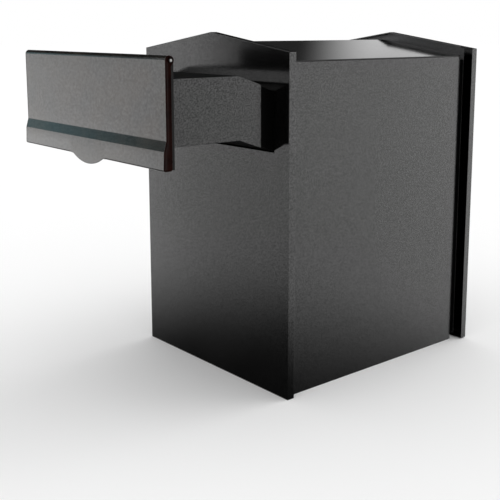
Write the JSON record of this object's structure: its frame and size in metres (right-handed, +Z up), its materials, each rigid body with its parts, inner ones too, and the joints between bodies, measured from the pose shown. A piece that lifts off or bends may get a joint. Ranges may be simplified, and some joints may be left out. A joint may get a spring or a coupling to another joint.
{
  "type": "parcel drop box",
  "caption": "Through-wall parcel drop box: gabled steel cabinet with a locking rear door, a bent chute and a sprung outside flap.",
  "frame": {"origin": "centre of the cabinet's footprint, on the underside of the floor panel", "axes": "+X across the front, +Y towards the rear door (the flap faces -Y), +Z up"},
  "size_m": [0.4542, 0.7555, 0.631],
  "materials": {
    "plate_paint": "black powder coat, fine grain, glossy",
    "panel_paint": "black powder coat, fine grain, satin",
    "roof_paint": "black powder coat, glossy",
    "inner_paint": "black coat, satin",
    "collar_black": "matt black coat",
    "sleeve_paint": "dark grey coat, satin",
    "hinge_paint": "black coat, satin",
    "bronze_coat": "satin dark bronze coat",
    "cap_coat": "dark red-brown bronze coat",
    "zinc_steel": "zinc plated",
    "spring_steel": "bright drawn wire",
    "lock_chrome": "polished",
    "rubber": "matt"
  },
  "bodies": {
    "cabinet": {"front_plate": "plate_paint", "left_side_panel": "panel_paint", "right_side_panel": "panel_paint", "roof_panel": "roof_paint", "floor_panel": "panel_paint", "rear_frame": "inner_paint", "lock_strike": "zinc_steel", "hinge_cabinet_leaf": "hinge_paint", "hinge_pin": "zinc_steel", "hinge_cabinet_rivets": "hinge_paint", "door_gasket": "rubber", "chute_sleeve": "sleeve_paint", "chute_collar": "collar_black", "chute_ring": "panel_paint", "chute_studs": "zinc_steel", "chute_nuts": "zinc_steel", "flap_frame": "inner_paint", "flap_hinge_pin": "zinc_steel", "flap_pin_clips": "inner_paint", "flap_springs": "spring_steel", "flap_bumpers": "rubber", "baffle_brackets": "sleeve_paint", "baffle_pin": "zinc_steel"},
    "door": {"rear_door": "plate_paint", "hinge_door_leaf": "hinge_paint", "hinge_door_rivets": "plate_paint", "lock_barrel": "lock_chrome", "lock_nut": "zinc_steel"},
    "lock": {"lock_plug": "lock_chrome", "lock_cam": "zinc_steel", "lock_cam_screw": "zinc_steel"},
    "flap": {"flap_panel": "bronze_coat", "flap_end_cap_left": "cap_coat", "flap_end_cap_right": "cap_coat"},
    "baffle": {"baffle_plate": "sleeve_paint"}
  },
  "joints": [
    {"name": "flap_hinge", "type": "hinge", "parent": "cabinet", "child": "flap", "pos_m": [0, -0.491, 0.592], "axis": [-1, 0, 0], "range_deg": [0, 75], "stiffness_Nm_per_rad": 0.3, "springref_deg": -28.65, "deforming": ["flap_springs"]},
    {"name": "door_hinge", "type": "hinge", "parent": "cabinet", "child": "door", "pos_m": [-0.2035, 0.224, 0], "axis": [0, 0, 1], "range_deg": [0, 110]},
    {"name": "lock_turn", "type": "hinge", "parent": "door", "child": "lock", "pos_m": [0.15, 0.235, 0.3], "axis": [0, -1, 0], "range_deg": [0, 90]},
    {"name": "baffle_hinge", "type": "hinge", "parent": "cabinet", "child": "baffle", "pos_m": [0, -0.163, 0.51513], "axis": [1, 0, 0], "range_deg": [0, 70]}
  ]
}
